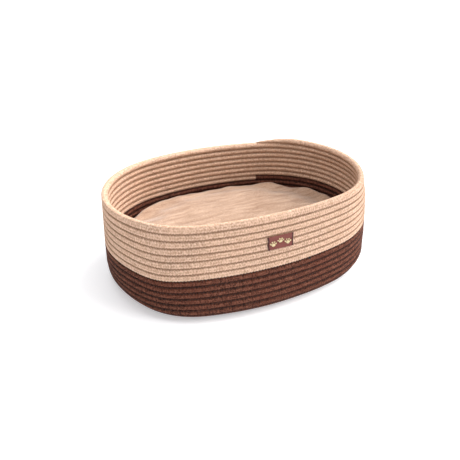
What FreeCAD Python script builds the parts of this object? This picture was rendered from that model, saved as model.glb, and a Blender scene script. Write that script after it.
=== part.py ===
import FreeCAD
import Part
import Sketcher
import math
import os

# Oval bed basket, coiled from soft cotton rope and machine sewn, with a loose cushion.
# The rope is wound flat for the base, round a corner, and then up the wall, one course a turn.
# The wall changes from brown rope to tan rope part of the way up.
# Millimetres. The origin is under the middle of the base, +X runs along the basket, +Z is up.

V = FreeCAD.Vector
UP = V(0, 0, 1)
doc = FreeCAD.newDocument("oval_rope_basket")
parts = []

# Driving dimensions ------------------------------------------------------------------------
sizes = doc.addObject("Spreadsheet::Sheet", "Sizes")
DRIVING = [
    ("outer_length", 406.0),        # across the widest course, end to end
    ("outer_width", 296.0),         # across the widest course, side to side
    ("side_bow", 7.5),              # how far each long side bows out from a straight line
    ("rope_diameter", 8.6),
    ("course_gap", 0.4),            # from one course to the next, up the wall
    ("base_flat", 0.2),             # how far the coil is pressed flat underneath
    ("corner_radius", 17.0),        # rope centre line, where the base turns up into the wall
    ("wall_lean", 4.5),             # degrees that the wall leans in
    ("wall_arcs", 64.0),            # sides and ends of courses from the base to the rim, four a turn
    ("tan_arcs", 32.0),             # how many of them, at the top, are tan rope
    ("seam_diameter", 1.2),         # sewing thread, as a bead along each groove
    ("seam_clearance", 0.45),       # outer bead to the courses on both sides of it
    ("inner_seam_clearance", 0.12), # inner bead to them, at the corner, where they crowd it
    ("label_width", 35.0),
    ("label_height", 17.6),
    ("label_thickness", 0.8),
    ("label_gap", 0.3),             # label's back from the ropes' outermost line
    ("label_along", -5.0),          # label's middle, along the front side
    ("label_drop", 3.9),            # label's middle below the rope's end at the rim, in courses
    ("print_pad", 3.6),             # heel pad of each embroidered paw print
    ("print_toe", 1.5),             # toe pads
    ("print_reach", 2.9),           # toe pads' centres from the heel pad's centre
    ("print_lift", 0.4),            # thickness of the embroidery
    ("print_spacing", 10.0),        # from one print to the next
    ("print_step", 1.6),            # prints step up and down by this much, as a trail does
    ("stitch_diameter", 0.5),
    ("stitch_length", 2.4),
    ("stitch_margin", 2.0),         # stitch row from the label's short edge
    ("knot_diameter", 2.0),         # knot of thread in the groove between the two colours
    ("knot_along", 39.0),
    ("knot_clearance", 0.3),
    ("cushion_gap", 1.2),           # cushion's edge to the rim that it passes on its way out
    ("cushion_thickness", 52.0),
    ("cushion_edge_radius", 17.0),
    ("cushion_floor_gap", 0.6),     # cushion's underside above the base coil
    ("cover_thickness", 1.2),
]
for row, (alias, number) in enumerate(DRIVING, start=1):
    sizes.set("A%d" % row, alias.replace("_", " "))
    sizes.set("B%d" % row, str(number))
    sizes.setAlias("B%d" % row, alias)
doc.recompute()

# Sizes that several pieces share, each worked out from the sheet
layout = doc.addObject("App::VarSet", "Layout")
SHARED = [
    ("rope_radius", "Sizes.rope_diameter / 2"),
    ("rope_pitch", "Sizes.rope_diameter + Sizes.course_gap"),
    ("seam_reach", ".rope_radius + Sizes.seam_diameter / 2 + Sizes.seam_clearance"),
    ("seam_depth", "sqrt(.seam_reach ^ 2 - .rope_pitch ^ 2 / 4)"),
    ("inner_seam_reach", ".rope_radius + Sizes.seam_diameter / 2 + Sizes.inner_seam_clearance"),
    ("corner_groove", ".rope_pitch / Sizes.corner_radius * 90 / pi"),
    ("corner_spread", "Sizes.corner_radius * sin(.corner_groove)"),
    ("inner_seam_depth", "Sizes.corner_radius * (1 - cos(.corner_groove))"
                         " + sqrt(.inner_seam_reach ^ 2 - .corner_spread ^ 2)"),
    ("coil_height", ".rope_radius - Sizes.base_flat"),
    ("wall_reach", "Sizes.outer_width / 2 - .rope_radius - Sizes.side_bow"),
    ("focus", "Sizes.outer_length / 2 - .rope_radius - .wall_reach"),
    ("base_reach", ".wall_reach - Sizes.corner_radius"),
    ("foot_reach", ".base_reach + Sizes.corner_radius * sin(90 + Sizes.wall_lean)"),
    ("foot_height", ".coil_height + Sizes.corner_radius * (1 - cos(90 + Sizes.wall_lean))"),
    ("corner_run", "Sizes.corner_radius * (90 + Sizes.wall_lean) * pi / 180"),
    ("wall_run", "Sizes.wall_arcs / 4 * .rope_pitch - .corner_run"),
    ("rim_height", ".foot_height + .wall_run * cos(Sizes.wall_lean)"),
    ("label_up", ".rim_height - Sizes.label_drop * .rope_pitch"),
    ("label_reach", ".foot_reach - (.label_up - .foot_height) * tan(Sizes.wall_lean)"),
    ("label_bow", "Sizes.side_bow * .label_reach / .wall_reach"),
    ("label_axis", "(.focus ^ 2 - .label_bow ^ 2) / (2 * .label_bow)"),
    ("label_radius", ".label_axis + .label_bow + .label_reach + .rope_radius + Sizes.label_gap"),
    ("label_taper", "Sizes.label_height / 2 * tan(Sizes.wall_lean)"),
    ("rim_reach", ".foot_reach - .wall_run * sin(Sizes.wall_lean)"),
    ("cushion_reach", ".rim_reach - .rope_radius - Sizes.cushion_gap"),
    ("cushion_floor", ".coil_height + .rope_radius + Sizes.cushion_floor_gap"),
    ("cushion_seam", ".cushion_floor + Sizes.cushion_thickness / 2"),
    ("cushion_side_axis", "(.focus ^ 2 - Sizes.side_bow ^ 2) / (2 * Sizes.side_bow)"),
]
for name, formula in SHARED:
    layout.addProperty("App::PropertyFloat", name)
    layout.setExpression(name, formula)
    doc.recompute()


def keep(node, label):
    """Name a finished sub-part, and list it to be written."""
    node.Label = label
    parts.append(node)
    return node


def bind(node, **formulas):
    for name, formula in formulas.items():
        node.setExpression(name.replace("__", "."), formula)


# The coil's route --------------------------------------------------------------------------
# Seen from above, every course is an oval of four arcs: a round end about each of two points on
# the X axis, the foci, and a long side that bows out a little. The reach is the distance from a
# focus to the round end. The run is the distance that the coil has grown, along its section,
# from the foci: out along the base, round the corner and up the wall. A turn adds one pitch.
# The four places where a turn's arcs meet are its joints: two at the left end, two at the right.

LEAN = math.radians(sizes.wall_lean)
JOINTS = 4                                          # joints in a turn


def end_angle(reach):
    """Half the angle of an oval's round end, in radians."""
    bow = sizes.side_bow * reach / layout.wall_reach
    side_axis = (layout.focus ** 2 - bow ** 2) / (2 * bow)
    return math.atan2(side_axis, layout.focus)


def end_share():
    """Half of a round end, as a share of the widest oval's length."""
    angle = end_angle(layout.wall_reach)
    side_radius = layout.focus / math.cos(angle) + layout.wall_reach
    end_length = layout.wall_reach * angle
    side_length = side_radius * (math.pi / 2 - angle)
    return end_length / (4 * (end_length + side_length))


SHARE = end_share()
JOINT_TURN = [SHARE, 0.5 - SHARE, 0.5 + SHARE, 1 - SHARE]

# The base ends at a joint, so its pitch is the wall's pitch, stretched to end there. The rim ends
# at the right end of the back, and the base as many arcs before it as the wall has.
BASE_JOINT = -int(sizes.wall_arcs) % JOINTS
WHOLE_TURNS = int(layout.base_reach / layout.rope_pitch - JOINT_TURN[BASE_JOINT])
BASE_TURNS = WHOLE_TURNS + JOINT_TURN[BASE_JOINT]
BASE_END = JOINTS * WHOLE_TURNS + BASE_JOINT
BASE_PITCH = layout.base_reach / BASE_TURNS
RIM_END = BASE_END + int(sizes.wall_arcs)
TAN_START = RIM_END - int(sizes.tan_arcs)


def run_at(joint):
    """The coil's run at a joint, counted from the start of the rope."""
    turn = joint // JOINTS + JOINT_TURN[joint % JOINTS]
    if turn <= BASE_TURNS:
        return BASE_PITCH * turn
    return layout.base_reach + layout.rope_pitch * (turn - BASE_TURNS)


def section_at(run):
    """Reach, height and upward slope of the coil's mid surface at a run."""
    up_run = run - layout.base_reach
    if up_run <= 0:
        return run, layout.coil_height, 0.0
    radius = sizes.corner_radius
    slope = min(up_run, layout.corner_run) / radius
    wall_run = max(up_run - layout.corner_run, 0.0)
    reach = layout.base_reach + radius * math.sin(slope) + wall_run * math.cos(slope)
    height = layout.coil_height + radius * (1 - math.cos(slope)) + wall_run * math.sin(slope)
    return reach, height, slope


def route_point(joint, past, out):
    """Point and direction of a route at a joint: past it in run, and out from the mid surface."""
    reach, height, slope = section_at(run_at(joint) + past)
    reach += out * math.sin(slope)
    height -= out * math.cos(slope)
    angle = end_angle(reach)
    corner = joint % JOINTS
    heading = [angle, math.pi - angle, math.pi + angle, 2 * math.pi - angle][corner]
    focus = layout.focus if corner in (0, 3) else -layout.focus
    outward = V(math.cos(heading), math.sin(heading), 0)
    along = V(-math.sin(heading), math.cos(heading), 0)
    growth = layout.rope_pitch / (4 * layout.focus + 2 * math.pi * reach)
    climb = (outward * math.cos(slope) + UP * math.sin(slope)) * growth
    point = V(focus, 0, height) + outward * reach
    return point, (along + climb).normalize()


def arc(start, direction, end):
    """The arc that leaves start in a direction and reaches end."""
    chord = end - start
    across = direction - chord * (direction.dot(chord) / chord.dot(chord))
    half_turn = math.atan2(across.Length, direction.dot(chord) / chord.Length)
    bulge = chord.Length / 2 * math.tan(half_turn / 2)
    middle = (start + end) * 0.5 + across.normalize() * bulge
    return Part.Arc(start, middle, end).toShape()


def arc_pair(start, leaving, end, arriving):
    """Two arcs, tangent to each other, from one point and direction to another."""
    gap = end - start
    both = leaving + arriving
    spread = 2 * (1 - leaving.dot(arriving))
    reach = (math.sqrt(gap.dot(both) ** 2 + spread * gap.dot(gap)) - gap.dot(both)) / spread
    first = start + leaving * reach
    second = end - arriving * reach
    middle = (first + second) * 0.5
    return [arc(start, leaving, middle), arc(middle, (second - first).normalize(), end)]


def coil_sweep(name, first, last, diameter, past=0.0, out=0.0):
    """A round section swept along the coil's route, from one joint to another."""
    stops = [route_point(joint, past, out) for joint in range(first, last + 1)]
    edges = []
    for (start, leaving), (end, arriving) in zip(stops, stops[1:]):
        edges += arc_pair(start, leaving, end, arriving)
    route = doc.addObject("Part::Feature", name + "_route")
    route.Shape = Part.Wire(edges)
    section = doc.addObject("Part::Circle", name + "_section")
    bind(section, Radius=diameter + " / 2")
    section.Placement = FreeCAD.Placement(stops[0][0], FreeCAD.Rotation(UP, stops[0][1]))
    sweep = doc.addObject("Part::Sweep", name + "_sweep")
    sweep.Sections = [section]
    sweep.Spine = (route, [])
    sweep.Solid = True
    sweep.Frenet = True
    doc.recompute()
    tightest = min(edge.Curve.Radius for edge in edges)
    measured = sweep.Shape.Volume / (math.pi * section.Radius.Value ** 2 * route.Shape.Length)
    print("%-18s length %8.1f  tightest %6.2f  volume ratio %.4f"
          % (name, route.Shape.Length, tightest, measured))
    return sweep


def press_flat(name, coil):
    """Cut a coil off at the floor, where the press of the sewing has flattened it."""
    below = doc.addObject("Part::Box", name + "_floor")
    bind(below, Length="Sizes.outer_length", Width="Sizes.outer_width", Height="Sizes.rope_diameter",
         Placement__Base__x="-Sizes.outer_length / 2", Placement__Base__y="-Sizes.outer_width / 2",
         Placement__Base__z="-Sizes.rope_diameter")
    flat = doc.addObject("Part::Cut", name)
    flat.Base = coil
    flat.Tool = below
    return flat


# Ropes: one brown rope, modelled as the flat base coil and the wall's lower courses, which meet
# face to face, and one tan rope.
ROPE = "Sizes.rope_diameter"
base_coil = coil_sweep("base_coil", 0, BASE_END, ROPE)
keep(press_flat("base_flat_coil", base_coil), "base_rope_brown")
low_wall = coil_sweep("low_wall", BASE_END, TAN_START, ROPE)
keep(press_flat("low_flat_wall", low_wall), "wall_rope_brown")
keep(coil_sweep("high_wall", TAN_START, RIM_END, ROPE), "wall_rope_tan")

# Seams: the zigzag thread that joins each course to the next, as a bead in the groove between
# them, needle thread outside and bobbin thread inside. The brown thread also sews on the first
# tan course. The first seam goes round the rope's start, so it begins half a turn before it.
SEAM = "Sizes.seam_diameter"
HALF_PITCH = layout.rope_pitch / 2
SEAM_START = -2
SEAM_END = RIM_END - JOINTS
for side, out in (("outer", layout.seam_depth), ("inner", -layout.inner_seam_depth)):
    brown = coil_sweep(side + "_brown", SEAM_START, TAN_START, SEAM, HALF_PITCH, out)
    keep(brown, side + "_seam_brown")
    tan = coil_sweep(side + "_tan", TAN_START, SEAM_END, SEAM, HALF_PITCH, out)
    keep(tan, side + "_seam_tan")


# Label: a woven tab sewn flat on the front of the wall, over two tan courses.
# It bends with the long side and leans with the wall, so it is a slice of a hollow cone.
def label_cone(name, extra):
    cone = doc.addObject("Part::Cone", name)
    bind(cone, Height="Sizes.label_height",
         Radius1="Layout.label_radius + Layout.label_taper + " + extra,
         Radius2="Layout.label_radius - Layout.label_taper + " + extra,
         Angle="Sizes.label_width / Layout.label_radius * 180 / pi",
         Placement__Base__y="Layout.label_axis",
         Placement__Base__z="Layout.label_up - Sizes.label_height / 2",
         Placement__Rotation__Angle="-90 + (Sizes.label_along - Sizes.label_width / 2)"
                                    " / Layout.label_radius * 180 / pi")
    return cone


label = doc.addObject("Part::Cut", "label")
label.Base = label_cone("label_face", "Sizes.label_thickness")
label.Tool = label_cone("label_back", "0")
keep(label, "label_tab")


def on_label(across, up, lift):
    """Middle, sideways, upward and outward directions of a spot on the label's face."""
    turn = (sizes.label_along + across) / layout.label_radius
    radius = layout.label_radius + sizes.label_thickness + lift - up * math.tan(LEAN)
    spot = V(radius * math.sin(turn), layout.label_axis - radius * math.cos(turn), layout.label_up + up)
    sideways = V(math.cos(turn), math.sin(turn), 0)
    outward = V(math.sin(turn) * math.cos(LEAN), -math.cos(turn) * math.cos(LEAN), math.sin(LEAN))
    return spot, sideways, outward.cross(sideways), outward


def disc_on_label(name, diameter, across, up):
    spot, sideways, upward, outward = on_label(across, up, 0)
    disc = doc.addObject("Part::Cylinder", name)
    bind(disc, Radius=diameter + " / 2", Height="Sizes.print_lift")
    disc.Placement = FreeCAD.Placement(spot, FreeCAD.Rotation(sideways, upward, outward, "ZXY"))
    return disc


# Print: a trail of three small paw prints, embroidered on the label
TOE_ANGLES = [158, 113, 67, 22]
discs = []
for print_number in (-1, 0, 1):
    middle = print_number * sizes.print_spacing
    rise = sizes.print_step * (1 if print_number == 0 else -1) - sizes.print_toe / 2
    name = "print_%d" % (print_number + 1)
    discs.append(disc_on_label(name + "_pad", "Sizes.print_pad", middle, rise))
    for toe, angle in enumerate(TOE_ANGLES):
        toe_across = middle + sizes.print_reach * math.cos(math.radians(angle))
        toe_up = rise + sizes.print_reach * math.sin(math.radians(angle))
        discs.append(disc_on_label(name + "_toe_%d" % toe, "Sizes.print_toe", toe_across, toe_up))
paw_prints = doc.addObject("Part::Compound", "paw_prints")
paw_prints.Links = discs
keep(paw_prints, "label_print")

# Stitches: a row along each short edge of the label
STITCHES = int((sizes.label_height - sizes.stitch_margin) / (sizes.stitch_length * 1.5))
STITCH_STEP = (sizes.label_height - sizes.stitch_margin) / STITCHES
stitches = []
for side in (-1, 1):
    for number in range(STITCHES):
        across = side * (sizes.label_width / 2 - sizes.stitch_margin)
        middle = (number - (STITCHES - 1) / 2) * STITCH_STEP
        low = middle - sizes.stitch_length / 2
        spot, sideways, upward, outward = on_label(across, low, sizes.stitch_diameter / 2)
        stitch = doc.addObject("Part::Cylinder", "stitch_%d_%d" % (side + 1, number))
        bind(stitch, Radius="Sizes.stitch_diameter / 2", Height="Sizes.stitch_length")
        stitch.Placement = FreeCAD.Placement(spot, FreeCAD.Rotation(UP, upward))
        stitches.append(stitch)
label_stitches = doc.addObject("Part::Compound", "label_stitch_rows")
label_stitches.Links = stitches
keep(label_stitches, "label_stitches")


# Knot: the knot of brown thread in the groove between the two colours, on the front side
def knot_spot():
    front = TAN_START + (2 - TAN_START) % JOINTS    # the joint where the front side begins
    start = route_point(front, -HALF_PITCH, 0)[0]
    end = route_point(front + 1, -HALF_PITCH, 0)[0]
    share = (sizes.knot_along - start.x) / (end.x - start.x)
    run = run_at(front) * (1 - share) + run_at(front + 1) * share - HALF_PITCH
    reach, height, slope = section_at(run)
    bow = sizes.side_bow * reach / layout.wall_reach
    side_axis = (layout.focus ** 2 - bow ** 2) / (2 * bow)
    out = layout.seam_depth + (sizes.seam_diameter + sizes.knot_diameter) / 2 + sizes.knot_clearance
    radius = side_axis + bow + reach + out
    return V(sizes.knot_along, side_axis - math.sqrt(radius ** 2 - sizes.knot_along ** 2), height)


knot = doc.addObject("Part::Sphere", "knot")
bind(knot, Radius="Sizes.knot_diameter / 2")
knot.Placement.Base = knot_spot()
keep(knot, "thread_knot")


# Cushion: a filled pad in a cover of two panels, sewn together at mid height. It lies loose on
# the base coil. Its outline is the basket's oval, drawn in by the cushion gap.
def oval_sketch(body, inset):
    """Four tangent arcs about the foci and the two side axes."""
    plane = [part for part in body.Origin.OriginFeatures if part.Role == "XY_Plane"][0]
    sketch = body.newObject("Sketcher::SketchObject", body.Name + "_outline")
    sketch.AttachmentSupport = [(plane, "")]
    sketch.MapMode = "FlatFace"
    end_radius = layout.cushion_reach
    angle = math.atan2(layout.cushion_side_axis, layout.focus)
    side_radius = layout.cushion_side_axis + sizes.side_bow + end_radius
    arcs = [(V(layout.focus, 0, 0), end_radius, -angle, angle),
            (V(0, -layout.cushion_side_axis, 0), side_radius, angle, math.pi - angle),
            (V(-layout.focus, 0, 0), end_radius, math.pi - angle, math.pi + angle),
            (V(0, layout.cushion_side_axis, 0), side_radius, math.pi + angle, 2 * math.pi - angle)]
    for middle, radius, start, end in arcs:
        sketch.addGeometry(Part.ArcOfCircle(Part.Circle(middle, UP, radius), start, end), False)
    for number in range(4):
        sketch.addConstraint(Sketcher.Constraint("Tangent", number, 2, (number + 1) % 4, 1))
    for number in (0, 2):
        sketch.addConstraint(Sketcher.Constraint("PointOnObject", number, 3, -1))
    sizes_drawn = [("DistanceX", -1, 1, 0, 3, "Layout.focus"), ("DistanceX", 2, 3, -1, 1, "Layout.focus"),
                   ("Radius", 0, "Layout.cushion_reach - " + inset),
                   ("Radius", 2, "Layout.cushion_reach - " + inset)]
    side = "Layout.cushion_side_axis + Sizes.side_bow + Layout.cushion_reach - " + inset
    sizes_drawn += [("Radius", 1, side), ("Radius", 3, side)]
    start_values = [layout.focus, layout.focus, end_radius, end_radius, side_radius, side_radius]
    for (*drawn, formula), value in zip(sizes_drawn, start_values):
        index = sketch.addConstraint(Sketcher.Constraint(*drawn, value))
        sketch.setExpression("Constraints[%d]" % index, formula)
    bind(sketch, AttachmentOffset__Base__z="Layout.cushion_floor + " + inset)
    return sketch


def pad_body(name, inset):
    """The cushion's closed form, smaller all over by an inset."""
    body = doc.addObject("PartDesign::Body", name)
    sketch = oval_sketch(body, inset)
    pad = body.newObject("PartDesign::Pad", name + "_pad")
    pad.Profile = sketch
    bind(pad, Length="Sizes.cushion_thickness - 2 * " + inset)
    doc.recompute()
    rims = ["Edge%d" % (index + 1) for index, edge in enumerate(pad.Shape.Edges)
            if edge.BoundBox.ZLength < edge.Length / 100]
    rounding = body.newObject("PartDesign::Fillet", name + "_rounding")
    rounding.Base = (pad, rims)
    bind(rounding, Radius="Sizes.cushion_edge_radius - " + inset)
    body.Tip = rounding
    return body


def half_space(name, floor):
    """A box over the whole basket, one cushion high, that trims the cover to one panel."""
    box = doc.addObject("Part::Box", name)
    bind(box, Length="Sizes.outer_length", Width="Sizes.outer_width", Height="Sizes.cushion_thickness",
         Placement__Base__x="-Sizes.outer_length / 2", Placement__Base__y="-Sizes.outer_width / 2",
         Placement__Base__z=floor)
    return box


filling = keep(pad_body("filling", "Sizes.cover_thickness"), "cushion_filling")
PANELS = [("top", "Layout.cushion_seam"), ("bottom", "Layout.cushion_seam - Sizes.cushion_thickness")]
for side, floor in PANELS:
    cover = doc.addObject("Part::Cut", side + "_cover")
    cover.Base = pad_body(side + "_form", "0")
    cover.Tool = filling
    panel = doc.addObject("Part::Common", side + "_panel")
    panel.Base = cover
    panel.Tool = half_space(side + "_half", floor)
    keep(panel, "cushion_%s_panel" % side)

# Check and write ---------------------------------------------------------------------------
doc.recompute()
faults = [item.Label for item in doc.Objects if {"Invalid", "Error"} & set(item.State)]
for node in parts:
    if node.Shape.isNull() or not node.Shape.isValid() or not node.Shape.Solids:
        faults.append(node.Label)
if faults:
    raise RuntimeError("failed objects: " + ", ".join(faults))
os.makedirs("parts", exist_ok=True)
for node in parts:
    node.Shape.exportStep("parts/%s.step" % node.Label)
    print("%-22s %3d solids  %10.1f mm3" % (node.Label, len(node.Shape.Solids), node.Shape.Volume))
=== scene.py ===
import math

import bmesh
import bpy
import numpy as np
from mathutils import Matrix, Vector


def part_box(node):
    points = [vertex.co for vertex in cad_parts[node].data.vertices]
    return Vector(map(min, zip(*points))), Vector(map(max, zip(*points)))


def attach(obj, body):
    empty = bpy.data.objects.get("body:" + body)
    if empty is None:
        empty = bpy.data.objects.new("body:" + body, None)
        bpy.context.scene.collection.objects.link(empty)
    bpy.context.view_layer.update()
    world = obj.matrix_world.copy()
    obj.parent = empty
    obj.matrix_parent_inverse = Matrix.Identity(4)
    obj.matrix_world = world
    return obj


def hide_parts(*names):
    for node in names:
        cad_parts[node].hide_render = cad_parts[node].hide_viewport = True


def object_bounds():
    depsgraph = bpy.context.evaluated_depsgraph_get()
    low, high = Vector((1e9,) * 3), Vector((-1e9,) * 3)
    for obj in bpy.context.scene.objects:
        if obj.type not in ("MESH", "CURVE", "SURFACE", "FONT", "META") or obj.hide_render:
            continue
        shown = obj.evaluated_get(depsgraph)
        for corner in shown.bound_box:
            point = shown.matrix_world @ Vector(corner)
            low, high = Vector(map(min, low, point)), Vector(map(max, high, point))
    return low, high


# Oval bed basket, coiled from knitted cotton rope and machine sewn, with a loose cushion.
# Metres. The origin is under the middle of the base, +X runs along the basket, +Z is up.

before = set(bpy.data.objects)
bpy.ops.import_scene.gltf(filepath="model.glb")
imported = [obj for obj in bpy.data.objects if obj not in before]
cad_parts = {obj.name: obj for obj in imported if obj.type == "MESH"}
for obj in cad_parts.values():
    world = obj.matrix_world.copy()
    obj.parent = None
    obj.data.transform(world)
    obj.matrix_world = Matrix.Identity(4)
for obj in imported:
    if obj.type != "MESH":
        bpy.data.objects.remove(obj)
cad_low, cad_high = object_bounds()
MM = 0.001

# Base rope ---------------------------------------------------------------------------------
# Brown cotton rope, a knitted sleeve round a cotton core, wound flat from the middle outwards.
# Each turn is machine sewn to the one inside it, and the underside is pressed flat.

OUTER_LENGTH = 406 * MM
OUTER_WIDTH = 296 * MM
SIDE_BOW = 7.5 * MM             # how far each long side bows out from a straight line
ROPE_RADIUS = 4.3 * MM
PITCH = 9.0 * MM                # from one course to the next
CORNER_RADIUS = 17.0 * MM       # rope centre line, where the base turns up into the wall
LEAN = math.radians(4.5)        # the wall leans in
COIL_HEIGHT = ROPE_RADIUS - 0.2 * MM
WALL_TURNS = 16
TAN_TURNS = 8

WALL_REACH = OUTER_WIDTH / 2 - ROPE_RADIUS - SIDE_BOW
FOCUS = OUTER_LENGTH / 2 - ROPE_RADIUS - WALL_REACH
BASE_REACH = WALL_REACH - CORNER_RADIUS
CORNER_RUN = CORNER_RADIUS * (math.pi / 2 + LEAN)


def oval(reach):
    """Bow, side axis and half end angle of the oval that lies this far from the two foci."""
    bow = SIDE_BOW * reach / WALL_REACH
    axis = (FOCUS ** 2 - bow ** 2) / (2 * bow)
    return bow, axis, np.arctan2(axis, FOCUS)


def end_share():
    """Half of a round end, as a share of the widest oval's length."""
    bow, axis, angle = oval(WALL_REACH)
    end_length = WALL_REACH * angle
    side_length = (axis + bow + WALL_REACH) * (math.pi / 2 - angle)
    return end_length / (4 * (end_length + side_length))


SHARE = end_share()
BASE_TURNS = int(BASE_REACH / PITCH - SHARE) + SHARE
BASE_PITCH = BASE_REACH / BASE_TURNS
TAN_START = BASE_TURNS + WALL_TURNS - TAN_TURNS
RIM_END = BASE_TURNS + WALL_TURNS


def oval_point(turn, reach):
    """Point on the oval this far from the foci, after some turns, and its outward direction."""
    bow, axis, angle = oval(reach)
    part = (turn + SHARE) % 1.0
    sign = np.where(part >= 0.5, -1, 1)
    part = part % 0.5
    at_end = part < 2 * SHARE
    end_heading = angle * (part / SHARE - 1)
    side_heading = angle + (part - 2 * SHARE) / (0.5 - 2 * SHARE) * (math.pi - 2 * angle)
    heading = np.where(at_end, end_heading, side_heading)
    radius = np.where(at_end, reach, axis + bow + reach)
    x = np.where(at_end, FOCUS, 0) + radius * np.cos(heading)
    y = np.where(at_end, 0, -axis) + radius * np.sin(heading)
    outward = np.stack([sign * np.cos(heading), sign * np.sin(heading), 0 * heading], -1)
    return sign * x, sign * y, outward


def coil_frame(turn, past=0.0):
    """Point on the coil's mid surface after some turns, and its two directions across the rope.

    Past is how much further the point lies along the section. The first direction leads on
    to the next course, and the second points out of the basket."""
    wall_run = BASE_REACH + PITCH * (turn - BASE_TURNS)
    run = np.where(turn <= BASE_TURNS, BASE_PITCH * turn, wall_run) + past
    slope = np.clip(run - BASE_REACH, 0, CORNER_RUN) / CORNER_RADIUS
    up_wall = np.maximum(run - BASE_REACH - CORNER_RUN, 0)
    reach = np.minimum(run, BASE_REACH) + CORNER_RADIUS * np.sin(slope) + up_wall * np.cos(slope)
    height = COIL_HEIGHT + CORNER_RADIUS * (1 - np.cos(slope)) + up_wall * np.sin(slope)
    x, y, outward = oval_point(turn, reach)
    lift = np.array([0, 0, 1])
    slope = slope[..., None]
    onward = outward * np.cos(slope) + lift * np.sin(slope)
    outside = outward * np.sin(slope) - lift * np.cos(slope)
    return np.stack([x, y, height], -1), onward, outside


def even_turns(first, last, step):
    """Turns at even steps along the rope, and the rope's length up to each."""
    fine = np.linspace(first, last, int((last - first) * 400) + 1)
    points = coil_frame(fine)[0]
    length = np.append(0, np.cumsum(np.linalg.norm(np.diff(points, axis=0), axis=1)))
    even = np.linspace(0, length[-1], int(length[-1] / step) + 1)
    return np.interp(even, length, fine), even


def rolled_tube(name, rings, sides, along):
    """A closed tube through rings of points. Its UV map holds millimetres along, and turns round."""
    bm = bmesh.new()
    bm.loops.layers.uv.new("Along")
    bmesh.ops.create_grid(bm, x_segments=len(rings) - 1, y_segments=sides, size=0.5, calc_uvs=True)
    mesh = bpy.data.meshes.new(name)
    bm.to_mesh(mesh)
    bm.free()
    flat = np.empty(len(mesh.vertices) * 3)
    mesh.vertices.foreach_get("co", flat)
    flat = flat.reshape(-1, 3) + 0.5
    column = np.rint(flat[:, 0] * (len(rings) - 1)).astype(int)
    row = np.rint(flat[:, 1] * sides).astype(int) % sides
    mesh.vertices.foreach_set("co", rings[column, row].ravel())
    layer = mesh.uv_layers["Along"].uv
    spots = np.empty(len(layer) * 2)
    layer.foreach_get("vector", spots)
    spots[0::2] = along[np.rint(spots[0::2] * (len(rings) - 1)).astype(int)] / MM
    layer.foreach_set("vector", spots)
    mesh.update()
    close = bmesh.new()
    close.from_mesh(mesh)
    bmesh.ops.remove_doubles(close, verts=close.verts, dist=0.001 * MM)
    rims = [edge for edge in close.edges if edge.is_boundary]
    for edge in rims:
        edge.smooth = False
    bmesh.ops.holes_fill(close, edges=rims, sides=0)
    bmesh.ops.recalc_face_normals(close, faces=close.faces)
    for face in close.faces:
        face.smooth = len(face.verts) == 4
    close.to_mesh(mesh)
    close.free()
    piece = bpy.data.objects.new(name, mesh)
    bpy.context.scene.collection.objects.link(piece)
    return piece


def power(value, exponent):
    return np.sign(value) * np.abs(value) ** exponent


HALF_COURSE = 4.55 * MM         # half the rope's height in its course: courses press together
INNER_SQUARE = 2.2              # the inside is nearly round, and the pressed outside squarer
BROWN_SQUARE = 3.2
BROWN_DENT = 1.4 * MM           # how far each stitch pulls the rope's edge in
STITCHES_PER_TURN = 268.37      # zigzag, about one each 4 mm round the wall, and closer in the base
LONG_SWELL = 0.012              # the rope's thickness varies by these shares of it,
SHORT_SWELL = 0.010
LONG_WAVE = 23 * MM             # in waves of these lengths over 2 pi
SHORT_WAVE = 9.7 * MM
SAG = 0.12 * MM                 # how far the hand-fed rope wanders
START_STUB = 0.3                # share of its thickness left where the rope starts,
END_STUB = 0.15                 # and where its taper ends


def smooth_step(value):
    value = np.clip(value, 0, 1)
    return value * value * (3 - 2 * value)


LEFT_PRESS = 0.012              # share of its height that the left half has sunk,
PRESS_RUN = 150 * MM            # more and more over this much of it
CORNER_SAG = 5.0 * MM           # the front left corner's middle courses sag, and its rim does not
SAG_X = -152 * MM
SAG_Y = -102 * MM
SAG_SPREAD = 40 * MM
END_START = 115 * MM            # where the right end's own settling begins
END_RUN = 80 * MM
END_BULGE = 3.0 * MM            # it bulges at mid height
BULGE_HEIGHT = 62 * MM
BULGE_SPREAD = 48 * MM
END_LEAN = 6.5 * MM             # and leans in at the rim
LEAN_START = 105 * MM
LEAN_RUN = 37 * MM
FOOT_ROUNDING = 6.0 * MM        # the left end's foot is rounder than the rest
ROUNDING_START = 100 * MM
ROUNDING_RUN = 80 * MM
ROUNDING_Y = -40 * MM
ROUNDING_SPREAD = 60 * MM
ROUNDING_HEIGHT = 50 * MM


def settle(points):
    """Points on the wall, moved to where soft rope has settled in use."""
    x, y, z = points[..., 0], points[..., 1], points[..., 2]
    corner = np.exp(-((x - SAG_X) ** 2 + (y - SAG_Y) ** 2) / SAG_SPREAD ** 2)
    sag = CORNER_SAG * corner * np.sin(math.pi * np.clip(z / cad_high.z, 0, 1))
    bulge = (END_BULGE * np.exp(-((z - BULGE_HEIGHT) / BULGE_SPREAD) ** 2)
             - END_LEAN * smooth_step((z - LEAN_START) / LEAN_RUN))
    foot = (smooth_step((-x - ROUNDING_START) / ROUNDING_RUN)
            * np.exp(-((y - ROUNDING_Y) / ROUNDING_SPREAD) ** 2))
    shift = (smooth_step((x - END_START) / END_RUN) * bulge
             + FOOT_ROUNDING * foot * smooth_step(1 - z / ROUNDING_HEIGHT))
    pressed = z * (1 - LEFT_PRESS * smooth_step(-x / PRESS_RUN))
    return np.stack([x + shift, y, pressed - sag], -1)


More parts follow.
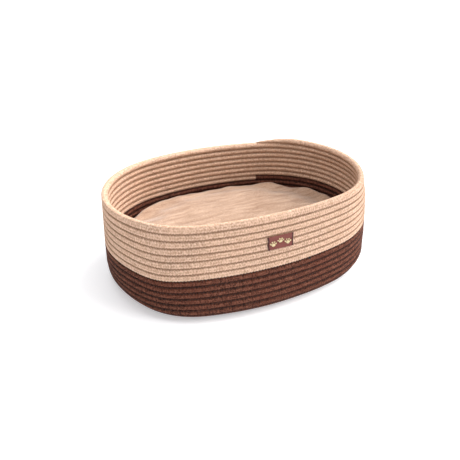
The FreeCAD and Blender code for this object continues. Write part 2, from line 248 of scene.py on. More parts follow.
def rope_rings(turns, along, sides, square, dent, taper_start=0.0, taper_end=0.0):
    """Rings of points round the rope, squarish, dented by its stitches, and a little uneven."""
    centre, onward, outside = coil_frame(turns)
    around = np.arange(sides) / sides * 2 * math.pi
    cosine, sine = np.cos(around)[None, :], np.sin(around)[None, :]
    square = np.where(cosine > 0, square, INNER_SQUARE)
    thick = 1 + LONG_SWELL * np.sin(along / LONG_WAVE) + SHORT_SWELL * np.sin(along / SHORT_WAVE + 1)
    out = ROPE_RADIUS * power(cosine, 2 / square) * thick[:, None]
    past = HALF_COURSE * power(sine, 2 / square) * np.ones_like(thick)[:, None]
    upper = 0.5 + 0.5 * np.cos(2 * math.pi * STITCHES_PER_TURN * turns)
    lower = 0.5 - 0.5 * np.cos(2 * math.pi * STITCHES_PER_TURN * (turns - 1))
    nearest = np.where(sine > 0, upper[:, None], lower[:, None])
    pull = nearest ** 2 * np.abs(2 * sine * cosine) ** 3
    past -= np.sign(sine) * dent * pull
    out -= np.sign(cosine) * dent * 0.5 * pull
    end = along[-1]
    slim = np.ones_like(along)
    if taper_start:
        start = np.clip(along / taper_start, 0, 1) ** 0.5
        slim = np.minimum(slim, start * (1 - START_STUB) + START_STUB)
    if taper_end:
        finish = np.clip((end - along) / taper_end, 0, 1) ** 0.8
        slim = np.minimum(slim, finish * (1 - END_STUB) + END_STUB)
    out *= slim[:, None]
    past = past * slim[:, None] - HALF_COURSE * (1 - slim)[:, None]
    out += SAG * (np.sin(along / (17 * MM)) + np.sin(along / (31 * MM) + 2))[:, None]
    rings = centre[:, None] + onward[:, None] * past[..., None] + outside[:, None] * out[..., None]
    rings = settle(rings)
    rings[..., 2] = np.maximum(rings[..., 2], 0)
    return rings


def linear(hex_colour):
    """A linear colour with alpha, from an sRGB hex one."""
    channels = [int(hex_colour[place:place + 2], 16) / 255 for place in (1, 3, 5)]
    return [c / 12.92 if c <= 0.04045 else ((c + 0.055) / 1.055) ** 2.4 for c in channels] + [1.0]


def add_node(tree, kind, inputs, **settings):
    """A shader node. Each input is a value, or the socket that it is linked from."""
    node = tree.nodes.new("ShaderNode" + kind)
    for name, value in settings.items():
        setattr(node, name, value)
    for socket, value in inputs.items():
        if isinstance(value, bpy.types.NodeSocket):
            tree.links.new(value, node.inputs[socket])
        else:
            node.inputs[socket].default_value = value
    return node


def new_material(name):
    material = bpy.data.materials.new(name)
    material.use_nodes = True
    material.node_tree.nodes.clear()
    return material, material.node_tree


def finish_material(tree, colour, normal, **values):
    """Principled cloth, with its colour and bump linked and its constant values set directly."""
    shader = add_node(tree, "BsdfPrincipled", {"Base Color": colour, "Normal": normal})
    for name, value in values.items():
        shader.inputs[name.replace("_", " ")].default_value = value
    add_node(tree, "OutputMaterial", {"Surface": shader.outputs[0]})


KNIT_COLUMNS = 9                # columns of stitches round the sleeve, each 3 mm wide
KNIT_STITCH = 3.1               # millimetres along; real ones are 2, drawn coarser to show
KNIT_SLANT = 1.3                # how far each stitch's two legs slant, in stitches
KNIT_WANDER = 1.1               # how far fuzz and slack shift the stitches, in stitches


def knitted_cotton(name, light, deep, warm, contrast, sheen):
    """Cotton sleeve knitted in fine columns of uneven V stitches: matt and a little fuzzy, with painted
    shade in the hollows between its stitches.
    """
    material, tree = new_material(name)
    spot = add_node(tree, "UVMap", {}, uv_map="Along").outputs["UV"]
    place = add_node(tree, "TexCoord", {}).outputs["Object"]
    fibre = add_node(tree, "TexNoise", {"Vector": place, "Scale": 380.0, "Detail": 2.0, "Roughness": 0.6})
    slack = add_node(tree, "TexNoise", {"Vector": place, "Scale": 210.0, "Detail": 2.0})
    patch = add_node(tree, "TexNoise", {"Vector": place, "Scale": 28.0, "Detail": 2.0})
    axes = add_node(tree, "SeparateXYZ", {0: spot})
    column = add_node(tree, "Math", {0: axes.outputs[1], 1: KNIT_COLUMNS}, operation="MULTIPLY")
    across = add_node(tree, "Math", {0: column.outputs[0], 1: 0.5}, operation="PINGPONG")
    slant = add_node(tree, "Math", {0: across.outputs[0], 1: KNIT_SLANT}, operation="MULTIPLY")
    wander = add_node(tree, "Math", {0: slack.outputs[0], 1: KNIT_WANDER, 2: slant.outputs[0]},
                      operation="MULTIPLY_ADD")
    stitch = add_node(tree, "Math", {0: axes.outputs[0], 1: 1 / KNIT_STITCH, 2: wander.outputs[0]},
                      operation="MULTIPLY_ADD")
    ridge = add_node(tree, "Math", {0: stitch.outputs[0], 1: 0.5}, operation="PINGPONG")
    leg = add_node(tree, "Math", {0: across.outputs[0], 1: 0.25}, operation="PINGPONG")
    leg = add_node(tree, "Math", {0: leg.outputs[0], 1: 1.6}, operation="MULTIPLY")
    body = add_node(tree, "Math", {0: ridge.outputs[0], 1: 1.1, 2: leg.outputs[0]}, operation="MULTIPLY_ADD")
    fleck = add_node(tree, "MapRange", {"Value": fibre.outputs[0], "From Min": 0.34, "From Max": 0.66})
    height = add_node(tree, "Math", {0: fleck.outputs[0], 1: 0.9, 2: body.outputs[0]},
                      operation="MULTIPLY_ADD")
    # painted shade: the lower the knit's surface, the darker its colour, down to the deep colour; the fibre
    # flecks add random tone
    shade = add_node(tree, "MapRange", {"Value": height.outputs[0], "From Min": 0.35, "From Max": 1.5,
                                        "To Min": 1 - contrast})
    shaded_knit = add_node(tree, "Mix", {"Factor": shade.outputs[0], "A": linear(deep), "B": linear(light)},
                    data_type="RGBA")
    tint = add_node(tree, "MapRange", {"Value": patch.outputs[0], "From Min": 0.3, "From Max": 0.7,
                                       "To Max": 0.35})
    colour = add_node(tree, "Mix", {"Factor": tint.outputs[0], "A": shaded_knit.outputs[2], "B": linear(warm)},
                      data_type="RGBA")
    bump = add_node(tree, "Bump", {"Height": height.outputs[0], "Strength": 1.0, "Distance": 0.7 * MM})
    finish_material(tree, colour.outputs[2], bump.outputs[0], Roughness=0.95, Specular_IOR_Level=0.12,
                    Sheen_Weight=sheen, Sheen_Roughness=0.5, Sheen_Tint=linear(light))
    return material


# The brown's near-black deep colour is the painted shade in the hollows between its stitches.
brown_cotton = knitted_cotton("brown knitted cotton", light="#8a5847", deep="#120806", warm="#6c3b2d",
                              contrast=1.0, sheen=0.1)


def wound_rope(name, first, last, step, sides, material, cad_node, slot, square, dent, **tapers):
    turns, along = even_turns(first, last, step)
    rope = rolled_tube(name, rope_rings(turns, along, sides, square, dent, **tapers), sides, along)
    rope.data.materials.append(material)
    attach(rope, "basket")
    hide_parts(cad_node)
    return rope


wound_rope("base_rope", SHARE, BASE_TURNS, 1.7 * MM, 18, brown_cotton, "base_rope_brown", "brown_rope",
           BROWN_SQUARE, BROWN_DENT, taper_start=8 * MM)

# Brown wall rope ---------------------------------------------------------------------------
# The same brown rope, wound on round the corner and up the wall, one course a turn. It is made
# here in two lengths that meet face to face.

STEP = 1.15 * MM                # between three and four steps to a stitch
SIDES = 24
BROWN_CUT = (BASE_TURNS + TAN_START) / 2
for name, first, last in (("wall_rope_brown_low", BASE_TURNS, BROWN_CUT),
                          ("wall_rope_brown_high", BROWN_CUT, TAN_START)):
    wound_rope(name, first, last, STEP, SIDES, brown_cotton, "wall_rope_brown", "brown_rope",
               BROWN_SQUARE, BROWN_DENT)

# Tan wall rope -----------------------------------------------------------------------------
# Tan rope of the same make, from the colour change to the rim. Its end is cut to a taper, tucked
# down behind the course below and sewn over.

# The tan's deep colour is the painted shade in the hollows between its stitches.
tan_cotton = knitted_cotton("tan knitted cotton", light="#eacab3", deep="#9a7257", warm="#dcb498",
                            contrast=0.85, sheen=0.2)
TAN_SQUARE = 6.5                # pressed flatter by the sewing than the brown rope
TAN_DENT = 1.0 * MM
TAN_CUT = (TAN_START + RIM_END) / 2
wound_rope("wall_rope_tan_low", TAN_START, TAN_CUT, STEP, SIDES, tan_cotton, "wall_rope_tan", "tan_rope",
           TAN_SQUARE, TAN_DENT)
wound_rope("wall_rope_tan_high", TAN_CUT, RIM_END, STEP, SIDES, tan_cotton, "wall_rope_tan", "tan_rope",
           TAN_SQUARE, TAN_DENT, taper_end=65 * MM)

# Seams -------------------------------------------------------------------------------------
# Zigzag machine stitches over every groove, inside and out, in polyester thread the colour of
# the rope. Each stitch bites into the course above and the course below.

THREAD_RADIUS = 0.34 * MM
BITE = 1.55 * MM                # stitch ends from the groove's middle
PULL = 0.4 * MM                 # how far it is pulled in where it crosses the groove


def zigzag(first, last, side, corners, square):
    """The thread's line along a groove: its points, on the outside for side 1, inside for -1."""
    square = square if side > 0 else INNER_SQUARE
    entry = ROPE_RADIUS * (1 - (1 - BITE / HALF_COURSE) ** square) ** (1 / square)
    count = int((last - first) * STITCHES_PER_TURN) * corners
    phase = np.arange(count + 1) / corners + math.ceil(first * STITCHES_PER_TURN)
    swing = -np.cos(2 * math.pi * phase)
    base, onward, outside = coil_frame(phase / STITCHES_PER_TURN, PITCH / 2 + BITE * swing)
    out = entry - PULL * (1 - np.abs(swing))
    return settle(base + outside * (side * out)[:, None])


def thread_tube(name, line, sides, radius=THREAD_RADIUS):
    along = np.append(0, np.cumsum(np.linalg.norm(np.diff(line, axis=0), axis=1)))
    ahead = np.gradient(line, axis=0)
    ahead /= np.linalg.norm(ahead, axis=1)[:, None]
    side = np.cross(ahead, [0.05, 0.07, 1.0])
    side /= np.linalg.norm(side, axis=1)[:, None]
    across = np.cross(ahead, side)
    around = (np.arange(sides) / sides * 2 * math.pi)[None, :, None]
    rings = line[:, None] + radius * (side[:, None] * np.cos(around) + across[:, None] * np.sin(around))
    return rolled_tube(name, rings, sides, along)


TWIST_PITCH = 1.6               # millimetres for a turn of the thread's plies; drawn coarse to show


def twisted_thread(name, light, deep):
    """Three-ply polyester sewing thread: slightly glossy plies that wind round each other, with painted
    shade where the plies meet.
    """
    material, tree = new_material(name)
    axes = add_node(tree, "SeparateXYZ", {0: add_node(tree, "UVMap", {}, uv_map="Along").outputs["UV"]})
    turn = add_node(tree, "Math", {0: axes.outputs[0], 1: 1 / TWIST_PITCH, 2: axes.outputs[1]},
                    operation="MULTIPLY_ADD")
    ply = add_node(tree, "Math", {0: turn.outputs[0], 1: 0.5}, operation="PINGPONG")
    # painted shade: each ply darkens towards the grooves where it meets the next
    shade = add_node(tree, "Math", {0: ply.outputs[0], 1: 2.0}, operation="MULTIPLY")
    colour = add_node(tree, "Mix", {"Factor": shade.outputs[0], "A": linear(deep), "B": linear(light)},
                      data_type="RGBA")
    bump = add_node(tree, "Bump", {"Height": ply.outputs[0], "Strength": 0.7, "Distance": 0.3 * MM})
    finish_material(tree, colour.outputs[2], bump.outputs[0], Roughness=0.55, Specular_IOR_Level=0.4)
    return material


brown_thread = twisted_thread("brown polyester thread", light="#3a1f17", deep="#140906")
tan_thread = twisted_thread("tan polyester thread", light="#c9a283", deep="#8a6650")

SEAM_START = SHARE - 0.5
WALL_SEAM = BASE_TURNS - 1.5    # the seams that show start in the base's outermost turns
# Each span's name, first and last turn, thread and its colour, the thread's corners to a stitch
# and sides, and how square the rope beside it is
SEAM_SPANS = [("base", SEAM_START + 1, WALL_SEAM, brown_thread, "brown", 2, 4, BROWN_SQUARE),
              ("brown", WALL_SEAM, TAN_START, brown_thread, "brown", 4, 5, BROWN_SQUARE),
              ("tan", TAN_START, RIM_END - 1, tan_thread, "tan", 4, 5, TAN_SQUARE)]
for place, side in (("outer", 1), ("inner", -1)):
    for span, first, last, thread, colour, corners, sides, square in SEAM_SPANS:
        line = zigzag(first, last, side, corners, square)
        seam = thread_tube("%s_seam_%s_stitches" % (place, span), line, sides)
        seam.data.materials.append(thread)
        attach(seam, "basket")
        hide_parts("%s_seam_%s" % (place, colour))

# Label -------------------------------------------------------------------------------------
# Dark red damask tab, woven in polyester, its ends folded under and sewn flat on two tan courses.
# It dips into the groove between them, and three paw prints are embroidered on it.

label_low, label_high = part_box("label_tab")
LABEL_ALONG = (label_low.x + label_high.x) / 2
LABEL_UP = (label_low.z + label_high.z) / 2
LABEL_WIDTH = 35 * MM
LABEL_HEIGHT = 17.6 * MM
LABEL_LIFT = 0.5 * MM           # label's back from the ropes' outermost line
LABEL_THICKNESS = 0.7 * MM
LABEL_DIP = 0.9 * MM            # how far it is pressed into the groove,
DIP_SPREAD = 2.2 * MM
DIP_WAVE = 4 * MM               # and how often it eases along it
FOOT_REACH = BASE_REACH + CORNER_RADIUS * math.cos(LEAN)
FOOT_HEIGHT = COIL_HEIGHT + CORNER_RADIUS * (1 + math.sin(LEAN))


def on_label(across, up, lift):
    """Points on the label's curved, leaning surface, across and up from its middle."""
    reach = FOOT_REACH - (LABEL_UP + up - FOOT_HEIGHT) * math.tan(LEAN)
    bow, axis, angle = oval(reach)
    dip = LABEL_DIP * np.exp(-(up / DIP_SPREAD) ** 2) * (1 - 0.5 * np.cos(across / DIP_WAVE) ** 2)
    radius = axis + bow + reach + ROPE_RADIUS + LABEL_LIFT + lift - dip
    turn = (LABEL_ALONG + across) / radius
    height = LABEL_UP + up + 0 * turn
    return settle(np.stack([radius * np.sin(turn), axis - radius * np.cos(turn), height], -1))


def woven_damask(name, colour, dark, thread_spacing=0.9):
    """Polyester ribbon weave: fine slanting ribs with a soft gloss, with painted shade in the grooves
    between the ribs and at its folded ends.
    """
    material, tree = new_material(name)
    axes = add_node(tree, "SeparateXYZ", {0: add_node(tree, "UVMap", {}, uv_map="Along").outputs["UV"]})
    slant = add_node(tree, "Math", {0: axes.outputs[0], 1: axes.outputs[1]}, operation="ADD")
    rib = add_node(tree, "Math", {0: slant.outputs[0], 1: thread_spacing / 2}, operation="PINGPONG")
    weft = add_node(tree, "Math", {0: axes.outputs[1], 1: thread_spacing / 2}, operation="PINGPONG")
    height = add_node(tree, "Math", {0: rib.outputs[0], 1: 1.5, 2: weft.outputs[0]},
                      operation="MULTIPLY_ADD")
    # painted shade: the ribbon is painted darker within about 2.6 mm of each end, where it is folded under
    edge = add_node(tree, "Math", {0: axes.outputs[0], 1: LABEL_WIDTH / MM / 2}, operation="PINGPONG")
    fold_shade = add_node(tree, "MapRange", {"Value": edge.outputs[0], "From Min": 1.2, "From Max": 2.6})
    # painted shade: the grooves between the ribs are painted darker
    weave = add_node(tree, "MapRange", {"Value": height.outputs[0], "From Min": 0.2, "From Max": 0.9,
                                        "To Min": 0.45})
    shade = add_node(tree, "Math", {0: weave.outputs[0], 1: fold_shade.outputs[0]}, operation="MULTIPLY")
    mixed = add_node(tree, "Mix", {"Factor": shade.outputs[0], "A": linear(dark), "B": linear(colour)},
                     data_type="RGBA")
    bump = add_node(tree, "Bump", {"Height": height.outputs[0], "Strength": 0.6, "Distance": 0.25 * MM})
    finish_material(tree, mixed.outputs[2], bump.outputs[0], Roughness=0.6, Specular_IOR_Level=0.35)
    return material


LABEL_STEP = 0.45 * MM
LEFT_FRAY = 0.5 * MM            # its left edge is frayed, and wanders by this much at most
FRAY_WAVE = 1.7 * MM
CORNER_CURL = 0.5 * MM          # its corners lift by this much, from these shares of its size on
CURL_ACROSS = 0.42
CURL_UP = 0.3
columns, rows = round(LABEL_WIDTH / LABEL_STEP), round(LABEL_HEIGHT / LABEL_STEP)
bm = bmesh.new()
uv = bm.loops.layers.uv.new("Along")
bmesh.ops.create_grid(bm, x_segments=columns, y_segments=rows, size=0.5, calc_uvs=True)
for face in bm.faces:
    face.smooth = True
    for loop in face.loops:
        spot = loop.vert.co
        loop[uv].uv = ((spot.x + 0.5) * LABEL_WIDTH / MM, (spot.y + 0.5) * LABEL_HEIGHT / MM)
for vert in bm.verts:
    across, up = vert.co.x * LABEL_WIDTH, vert.co.y * LABEL_HEIGHT
    wave = LEFT_FRAY * math.sin(up / FRAY_WAVE) * (0.5 - vert.co.x) ** 4
    curl_across = max(0, abs(vert.co.x) - CURL_ACROSS) / (0.5 - CURL_ACROSS)
    curl_up = max(0, abs(vert.co.y) - CURL_UP) / (0.5 - CURL_UP)
    curl = CORNER_CURL * curl_across * curl_up
    vert.co = Vector(on_label(across + wave, up, curl))
bmesh.ops.recalc_face_normals(bm, faces=bm.faces)
label_mesh = bpy.data.meshes.new("label_ribbon")
bm.to_mesh(label_mesh)
bm.free()
label = bpy.data.objects.new("label_ribbon", label_mesh)
bpy.context.scene.collection.objects.link(label)
label_mesh.materials.append(woven_damask("dark red woven damask", colour="#83443c", dark="#3d1713"))
thickness = label.modifiers.new("thickness", "SOLIDIFY")
thickness.thickness = LABEL_THICKNESS
thickness.offset = -1
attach(label, "basket")
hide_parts("label_tab")

# Paw prints --------------------------------------------------------------------------------
# A trail of three paw prints in cream rayon embroidery thread, each pad a raised patch of satin
# stitch on the label.

PRINT_SPACING = 10.0 * MM
PRINT_STEP = 1.6 * MM           # prints step up and down by this much,
PRINT_DROP = 1.0 * MM           # about a line this far below the label's middle
PAD_SIZE = Vector((2.6, 2.1, 0.6)) * MM         # half sizes across, up and out
TOE_SIZE = Vector((0.95, 1.3, 0.5)) * MM
TOE_REACH = 3.8 * MM
TOE_ANGLES = [160, 113, 67, 20]
TOE_SPLAY = 0.6                 # how much of its own angle each toe turns by
ROUND_STEPS = 16


def add_patch(bm, across, up, size, turn=0.0, lift=0.0):
    """A raised oval patch on the label's face, lying along its surface."""
    spot, right, above = (Vector(on_label(across + dx, up + dy, lift)) for dx, dy in
                          ((0, 0), (1 * MM, 0), (0, 1 * MM)))
    sideways = (right - spot).normalized()
    outward = sideways.cross(above - spot).normalized()
    upward = outward.cross(sideways)
    place = Matrix((sideways, upward, outward)).transposed().to_4x4()
    place.translation = spot
    grown = Matrix.Diagonal((*size, 1))
    bmesh.ops.create_uvsphere(bm, u_segments=ROUND_STEPS, v_segments=ROUND_STEPS // 2, radius=1,
                              matrix=place @ Matrix.Rotation(turn, 4, "Z") @ grown)


def smooth_piece(name, bm, material):
    for face in bm.faces:
        face.smooth = True
    mesh = bpy.data.meshes.new(name)
    bm.to_mesh(mesh)
    bm.free()
    mesh.materials.append(material)
    piece = bpy.data.objects.new(name, mesh)
    bpy.context.scene.collection.objects.link(piece)
    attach(piece, "basket")
    return piece


def satin_stitch(name, light, deep, spacing=0.45):
    """Rayon embroidery: close parallel threads with a silky gloss, with painted shade between the threads.
    """
    material, tree = new_material(name)
    place = add_node(tree, "TexCoord", {}).outputs["Object"]
    axes = add_node(tree, "SeparateXYZ", {0: place})
    across = add_node(tree, "Math", {0: axes.outputs[0], 1: 0.6, 2: axes.outputs[2]},
                      operation="MULTIPLY_ADD")
    thread = add_node(tree, "Math", {0: across.outputs[0], 1: spacing * MM / 2}, operation="PINGPONG")
    height = add_node(tree, "Math", {0: thread.outputs[0], 1: 2 / (spacing * MM)}, operation="MULTIPLY")
    # painted shade: each thread darkens towards its edges
    colour = add_node(tree, "Mix", {"Factor": height.outputs[0], "A": linear(deep), "B": linear(light)},
                      data_type="RGBA")
    bump = add_node(tree, "Bump", {"Height": height.outputs[0], "Strength": 0.8, "Distance": 0.15 * MM})
    finish_material(tree, colour.outputs[2], bump.outputs[0], Roughness=0.4, Specular_IOR_Level=0.5)
    return material


bm = bmesh.new()
for number in (-1, 0, 1):
    middle = number * PRINT_SPACING
    rise = PRINT_STEP * (1 if number == 0 else -1) - PRINT_DROP
    add_patch(bm, middle, rise, PAD_SIZE, lift=LABEL_THICKNESS)
    for angle in TOE_ANGLES:
        lean = math.radians(angle)
        add_patch(bm, middle + TOE_REACH * math.cos(lean), rise + TOE_REACH * math.sin(lean), TOE_SIZE,
                  turn=(lean - math.pi / 2) * TOE_SPLAY, lift=LABEL_THICKNESS)
cream = satin_stitch("cream rayon embroidery", light="#efe2b4", deep="#b49d6b")
paws = smooth_piece("paw_print_embroidery", bm, cream)
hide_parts("label_print")

# Label stitches ----------------------------------------------------------------------------
# The running stitch of dark red thread along each short edge that holds the label on the wall.

STITCH_MARGIN = 1.9 * MM
STITCH_SIZE = Vector((0.26, 1.2, 0.3)) * MM
STITCH_ROWS = [-6.0, -2.6, 2.6, 6.0]            # millimetres up from the label's middle
bm = bmesh.new()
for side in (-1, 1):
    for up in STITCH_ROWS:
        add_patch(bm, side * (LABEL_WIDTH / 2 - STITCH_MARGIN), up * MM, STITCH_SIZE, lift=LABEL_THICKNESS)
stitches = smooth_piece("label_edge_stitches", bm, satin_stitch("dark red thread", "#6b2b2a", "#2e100f"))
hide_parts("label_stitches")

# Thread knot -------------------------------------------------------------------------------
# Where the brown sewing thread was changed, its ends are tied off in a small hard knot that
# stands out of the groove between the two colours.

knot_low, knot_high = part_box("thread_knot")
knot_middle = (knot_low + knot_high) / 2
KNOT_SIZE = 0.48 * MM
KNOT_THREAD = 0.42 * MM
KNOT_OPEN = 0.25                # radians left open at each end of its loops, where the tails leave
KNOT_STEPS = 70
TAIL_STEPS = 6
FIRST_TAIL = [1.4, -1.0, -3.0]  # where each tail hangs to, in knot sizes
LAST_TAIL = [-1.6, -1.2, -2.6]
THREAD_SIDES = 8
turn = np.linspace(KNOT_OPEN, 2 * math.pi - KNOT_OPEN, KNOT_STEPS)
loops = np.stack([np.sin(turn) + 2 * np.sin(2 * turn), np.sin(3 * turn),
                  np.cos(turn) - 2 * np.cos(2 * turn)], -1)
tail = np.linspace(1, 0, TAIL_STEPS)[:, None]
first_tail = loops[0] + tail * FIRST_TAIL
last_tail = loops[-1] + tail[::-1] * LAST_TAIL
line = np.concatenate([first_tail[:-1], loops, last_tail[1:]]) * KNOT_SIZE + np.array(knot_middle)
knot = thread_tube("tied_thread_knot", line, THREAD_SIDES, KNOT_THREAD)
knot.data.materials.append(twisted_thread("near black knotted thread", light="#2a1c19", deep="#0b0706"))
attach(knot, "basket")
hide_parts("thread_knot")

# Cushion -----------------------------------------------------------------------------------
# Loose pad of beige short pile plush, two panels sewn together round the edge at mid height and
# filled with polyester fibre. It lies flat on the base, and its filling has worked out to the
# edge, which stands up round a lower middle.

pad_low, pad_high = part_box("cushion_bottom_panel")[0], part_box("cushion_top_panel")[1]
PAD_REACH = pad_high.x - FOCUS
PAD_SEAM = (pad_low.z + pad_high.z) / 2
PAD_HALF = (pad_high.z - pad_low.z) / 2
SWELL_ROOM = 2.0 * MM           # the pad starts this much smaller, and swells to size
PAD_CORNER = 6.0                # how square its section is before it swells
PAD_VOXEL = 5 * MM
SWELL_FRAMES = 20
SWELL_LIMIT = 9 * MM
WALL_STOP = 126.0 * MM          # the reach it swells to, just short of the wall
SEAM_NIP = 2.2 * MM             # how far the seam pulls the edge in,
NIP_SPREAD = 2.6 * MM
NIP_START = 0.8                 # from this share of the reach on
EDGE_RISE = 16 * MM             # how far the filling lifts the edge,
EDGE_PLACE = 0.93               # about this share of the reach
EDGE_SPREAD = 0.13
LUMP_HEIGHT = 1.3 * MM
RINGS_ROUND, RINGS_UP = 120, 48

bm = bmesh.new()
bmesh.ops.create_uvsphere(bm, u_segments=RINGS_ROUND, v_segments=RINGS_UP, radius=1)
cushion_mesh = bpy.data.meshes.new("plush_cushion")
bm.to_mesh(cushion_mesh)
bm.free()


def mesh_points(mesh):
    flat = np.empty(len(mesh.vertices) * 3)
    mesh.vertices.foreach_get("co", flat)
    return flat.reshape(-1, 3)


def set_points(mesh, points):
    mesh.vertices.foreach_set("co", points.ravel())
    mesh.update()


ball = mesh_points(cushion_mesh)
turns = np.arctan2(ball[:, 1], ball[:, 0]) / (2 * math.pi)
x, y, outward = oval_point(turns, PAD_REACH - SWELL_ROOM)
level = np.hypot(ball[:, 0], ball[:, 1]) ** (2 / PAD_CORNER)
rise = power(ball[:, 2], 2 / PAD_CORNER) * (PAD_HALF - SWELL_ROOM)
set_points(cushion_mesh, np.stack([x * level, y * level, PAD_SEAM + rise], -1))
cushion = bpy.data.objects.new("plush_cushion", cushion_mesh)
bpy.context.scene.collection.objects.link(cushion)


def apply_modifiers(piece):
    """Give a piece the mesh that its modifiers make, and remove them."""
    whole = piece.evaluated_get(bpy.context.evaluated_depsgraph_get())
    mesh = bpy.data.meshes.new_from_object(whole)
    piece.modifiers.clear()
    piece.data = mesh


remesh = cushion.modifiers.new("even faces", "REMESH")
remesh.mode = "VOXEL"
remesh.voxel_size = PAD_VOXEL
apply_modifiers(cushion)
before = mesh_points(cushion.data)
seam = cushion.vertex_groups.new(name="seam")
edge = np.abs(before[:, 2] - PAD_SEAM) < PAD_VOXEL * 0.6
seam.add([int(number) for number in np.flatnonzero(edge)], 1.0, "REPLACE")
cloth = cushion.modifiers.new("swelling", "CLOTH")
cloth.settings.quality = 5
cloth.settings.mass = 0.3
cloth.settings.tension_stiffness = 12
cloth.settings.bending_stiffness = 0.4
cloth.settings.use_pressure = True
cloth.settings.uniform_pressure_force = 4
cloth.settings.vertex_group_mass = "seam"
cloth.settings.effector_weights.gravity = 0
for number in range(1, SWELL_FRAMES + 1):
    bpy.context.scene.frame_set(number)
apply_modifiers(cushion)
bpy.context.scene.frame_set(1)
moved = mesh_points(cushion.data) - before
distance = np.linalg.norm(moved, axis=1)[:, None]
set_points(cushion.data, before + moved * np.minimum(1, SWELL_LIMIT / np.maximum(distance, 1e-9)))
fuller = cushion.modifiers.new("fuller", "SMOOTH")   # the filling presses small creases out
fuller.factor = 0.5
fuller.iterations = 12
finer = cushion.modifiers.new("finer", "SUBSURF")
finer.levels = finer.render_levels = 1
apply_modifiers(cushion)

points = mesh_points(cushion.data)
nip = SEAM_NIP * np.exp(-((points[:, 2] - PAD_SEAM) / NIP_SPREAD) ** 2)
near = np.stack([np.clip(points[:, 0], -FOCUS, FOCUS), 0 * points[:, 1]], -1)
outward = points[:, :2] - near
reach = np.linalg.norm(outward, axis=1)
bow = oval(PAD_REACH)[0] * (1 - np.clip(points[:, 0] / FOCUS, -1, 1) ** 2)
share = (reach - bow) / (reach - bow).max()
wanted = reach * WALL_STOP / (reach - bow).max() - nip * (share > NIP_START)
points[:, :2] = near + outward * (wanted / np.maximum(reach, 1e-9))[:, None]
edge = np.exp(-((share - EDGE_PLACE) / EDGE_SPREAD) ** 2)
points[:, 2] += EDGE_RISE * edge * np.clip((points[:, 2] - PAD_SEAM) / PAD_HALF, 0, 1)
lumps = (np.sin(points[:, 0] / (31 * MM) + 1) * np.sin(points[:, 1] / (27 * MM))
         + 0.6 * np.sin(points[:, 0] / (17 * MM) + points[:, 1] / (23 * MM) + 2))
points[:, 2] += LUMP_HEIGHT * lumps * (points[:, 2] > PAD_SEAM)
points[:, 2] = np.maximum(points[:, 2], pad_low.z)
set_points(cushion.data, points)
cushion.data.shade_smooth()


def short_plush(name, light, deep, pile=1.4, streak=14.0):
    """Short cut pile: matt, with a soft sheen at grazing angles, and faint streaks where it is brushed,
    painted into its colour as the pile's sheen and shade.
    """
    material, tree = new_material(name)
    place = add_node(tree, "TexCoord", {}).outputs["Object"]
    tuft = add_node(tree, "TexNoise", {"Vector": place, "Scale": 1 / (pile * MM), "Detail": 3.0})
    brushed = add_node(tree, "Mapping", {"Vector": place, "Rotation": (0, 0, math.radians(-32)),
                                         "Scale": (12, 1 / (streak * MM), 30)})
    streaks = add_node(tree, "TexNoise", {"Vector": brushed.outputs[0], "Scale": 2.2, "Detail": 4.0,
                                          "Roughness": 0.7})
    both = add_node(tree, "Math", {0: streaks.outputs[0], 1: 1.2, 2: tuft.outputs[0]},
                    operation="MULTIPLY_ADD")
    shade = add_node(tree, "MapRange", {"Value": both.outputs[0], "From Min": 0.8, "From Max": 1.4})
    # painted sheen and shade: streaks along the brushing, with a finer noise of tufts that adds random tone
    colour = add_node(tree, "Mix", {"Factor": shade.outputs[0], "A": linear(deep), "B": linear(light)},
                      data_type="RGBA")
    bump = add_node(tree, "Bump", {"Height": both.outputs[0], "Strength": 0.8, "Distance": 0.9 * MM})
    finish_material(tree, colour.outputs[2], bump.outputs[0], Roughness=1.0, Specular_IOR_Level=0.15,
                    Sheen_Weight=0.6, Sheen_Roughness=0.35)
    return material


cushion.data.materials.clear()
cushion.data.materials.append(short_plush("beige short pile plush", light="#c4a791", deep="#8a6a55"))
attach(cushion, "cushion")
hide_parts("cushion_top_panel", "cushion_bottom_panel", "cushion_filling")

# Floor, light and camera -------------------------------------------------------------------
# A plain white floor, a large soft light from the right, a weak one from the front, a lamp over
# the nest and a white surround.

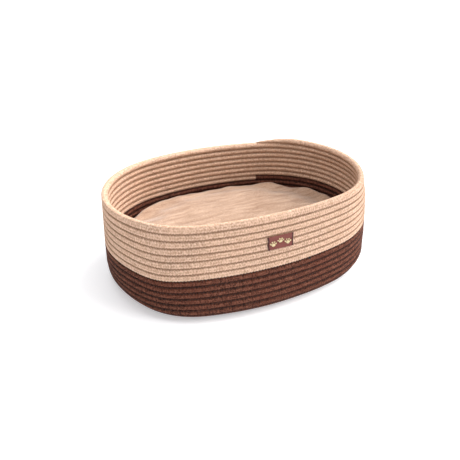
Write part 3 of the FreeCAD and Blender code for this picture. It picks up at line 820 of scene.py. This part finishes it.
FLOOR_SIZE = 80.0
bm = bmesh.new()
bmesh.ops.create_grid(bm, x_segments=1, y_segments=1, size=FLOOR_SIZE / 2)
floor_mesh = bpy.data.meshes.new("floor")
bm.to_mesh(floor_mesh)
bm.free()
floor = bpy.data.objects.new("floor", floor_mesh)
floor.location.z = -0.2 * MM
bpy.context.scene.collection.objects.link(floor)
white, tree = new_material("white studio floor")
shader = add_node(tree, "BsdfPrincipled", {"Base Color": linear("#e2e2e4"), "Roughness": 0.95,
                                           "Emission Color": linear("#fdfdff"), "Emission Strength": 0.38})
add_node(tree, "OutputMaterial", {"Surface": shader.outputs[0]})
floor_mesh.materials.append(white)

world = bpy.data.worlds.new("white surround")
world.use_nodes = True
world.node_tree.nodes["Background"].inputs["Color"].default_value = (1, 1, 1, 1)
world.node_tree.nodes["Background"].inputs["Strength"].default_value = 0.5
bpy.context.scene.world = world

for name, energy, softness, direction in (("soft key", 4.6, 60, (0.90, -0.12, 0.80)),
                                          ("soft fill", 0.35, 90, (-0.15, -0.75, 0.70))):
    light_data = bpy.data.lights.new(name, "SUN")
    light_data.energy = energy
    light_data.angle = math.radians(softness)
    light_data.color = (1.0, 0.985, 0.965)
    light = bpy.data.objects.new(name, light_data)
    light.rotation_euler = Vector(direction).to_track_quat("Z", "Y").to_euler()
    bpy.context.scene.collection.objects.link(light)

lamp_data = bpy.data.lights.new("soft top light", "AREA")
lamp_data.energy = 1.5
lamp_data.size = 0.4
lamp = bpy.data.objects.new("soft top light", lamp_data)
lamp.location = (-0.08, 0.03, 0.5)
bpy.context.scene.collection.objects.link(lamp)

VIEW_AZIMUTH = math.radians(-23.88)
VIEW_ELEVATION = math.radians(33.11)
VIEW_DISTANCE = 693.5 * MM
ASIDE = 0.018                   # the lens points a little to one side of the origin, and above it
ABOVE = 0.0537
camera_data = bpy.data.cameras.new("camera")
camera_data.sensor_width = 36
camera_data.lens = 33.5
camera = bpy.data.objects.new("camera", camera_data)
around = Matrix.Rotation(VIEW_AZIMUTH, 4, "Z") @ Matrix.Rotation(math.pi / 2 - VIEW_ELEVATION, 4, "X")
camera.matrix_world = (around @ Matrix.Translation((0, 0, VIEW_DISTANCE))
                       @ Matrix.Rotation(ASIDE, 4, "Y") @ Matrix.Rotation(ABOVE, 4, "X"))
bpy.context.scene.collection.objects.link(camera)
bpy.context.scene.camera = camera
bpy.context.scene.view_settings.view_transform = "Standard"
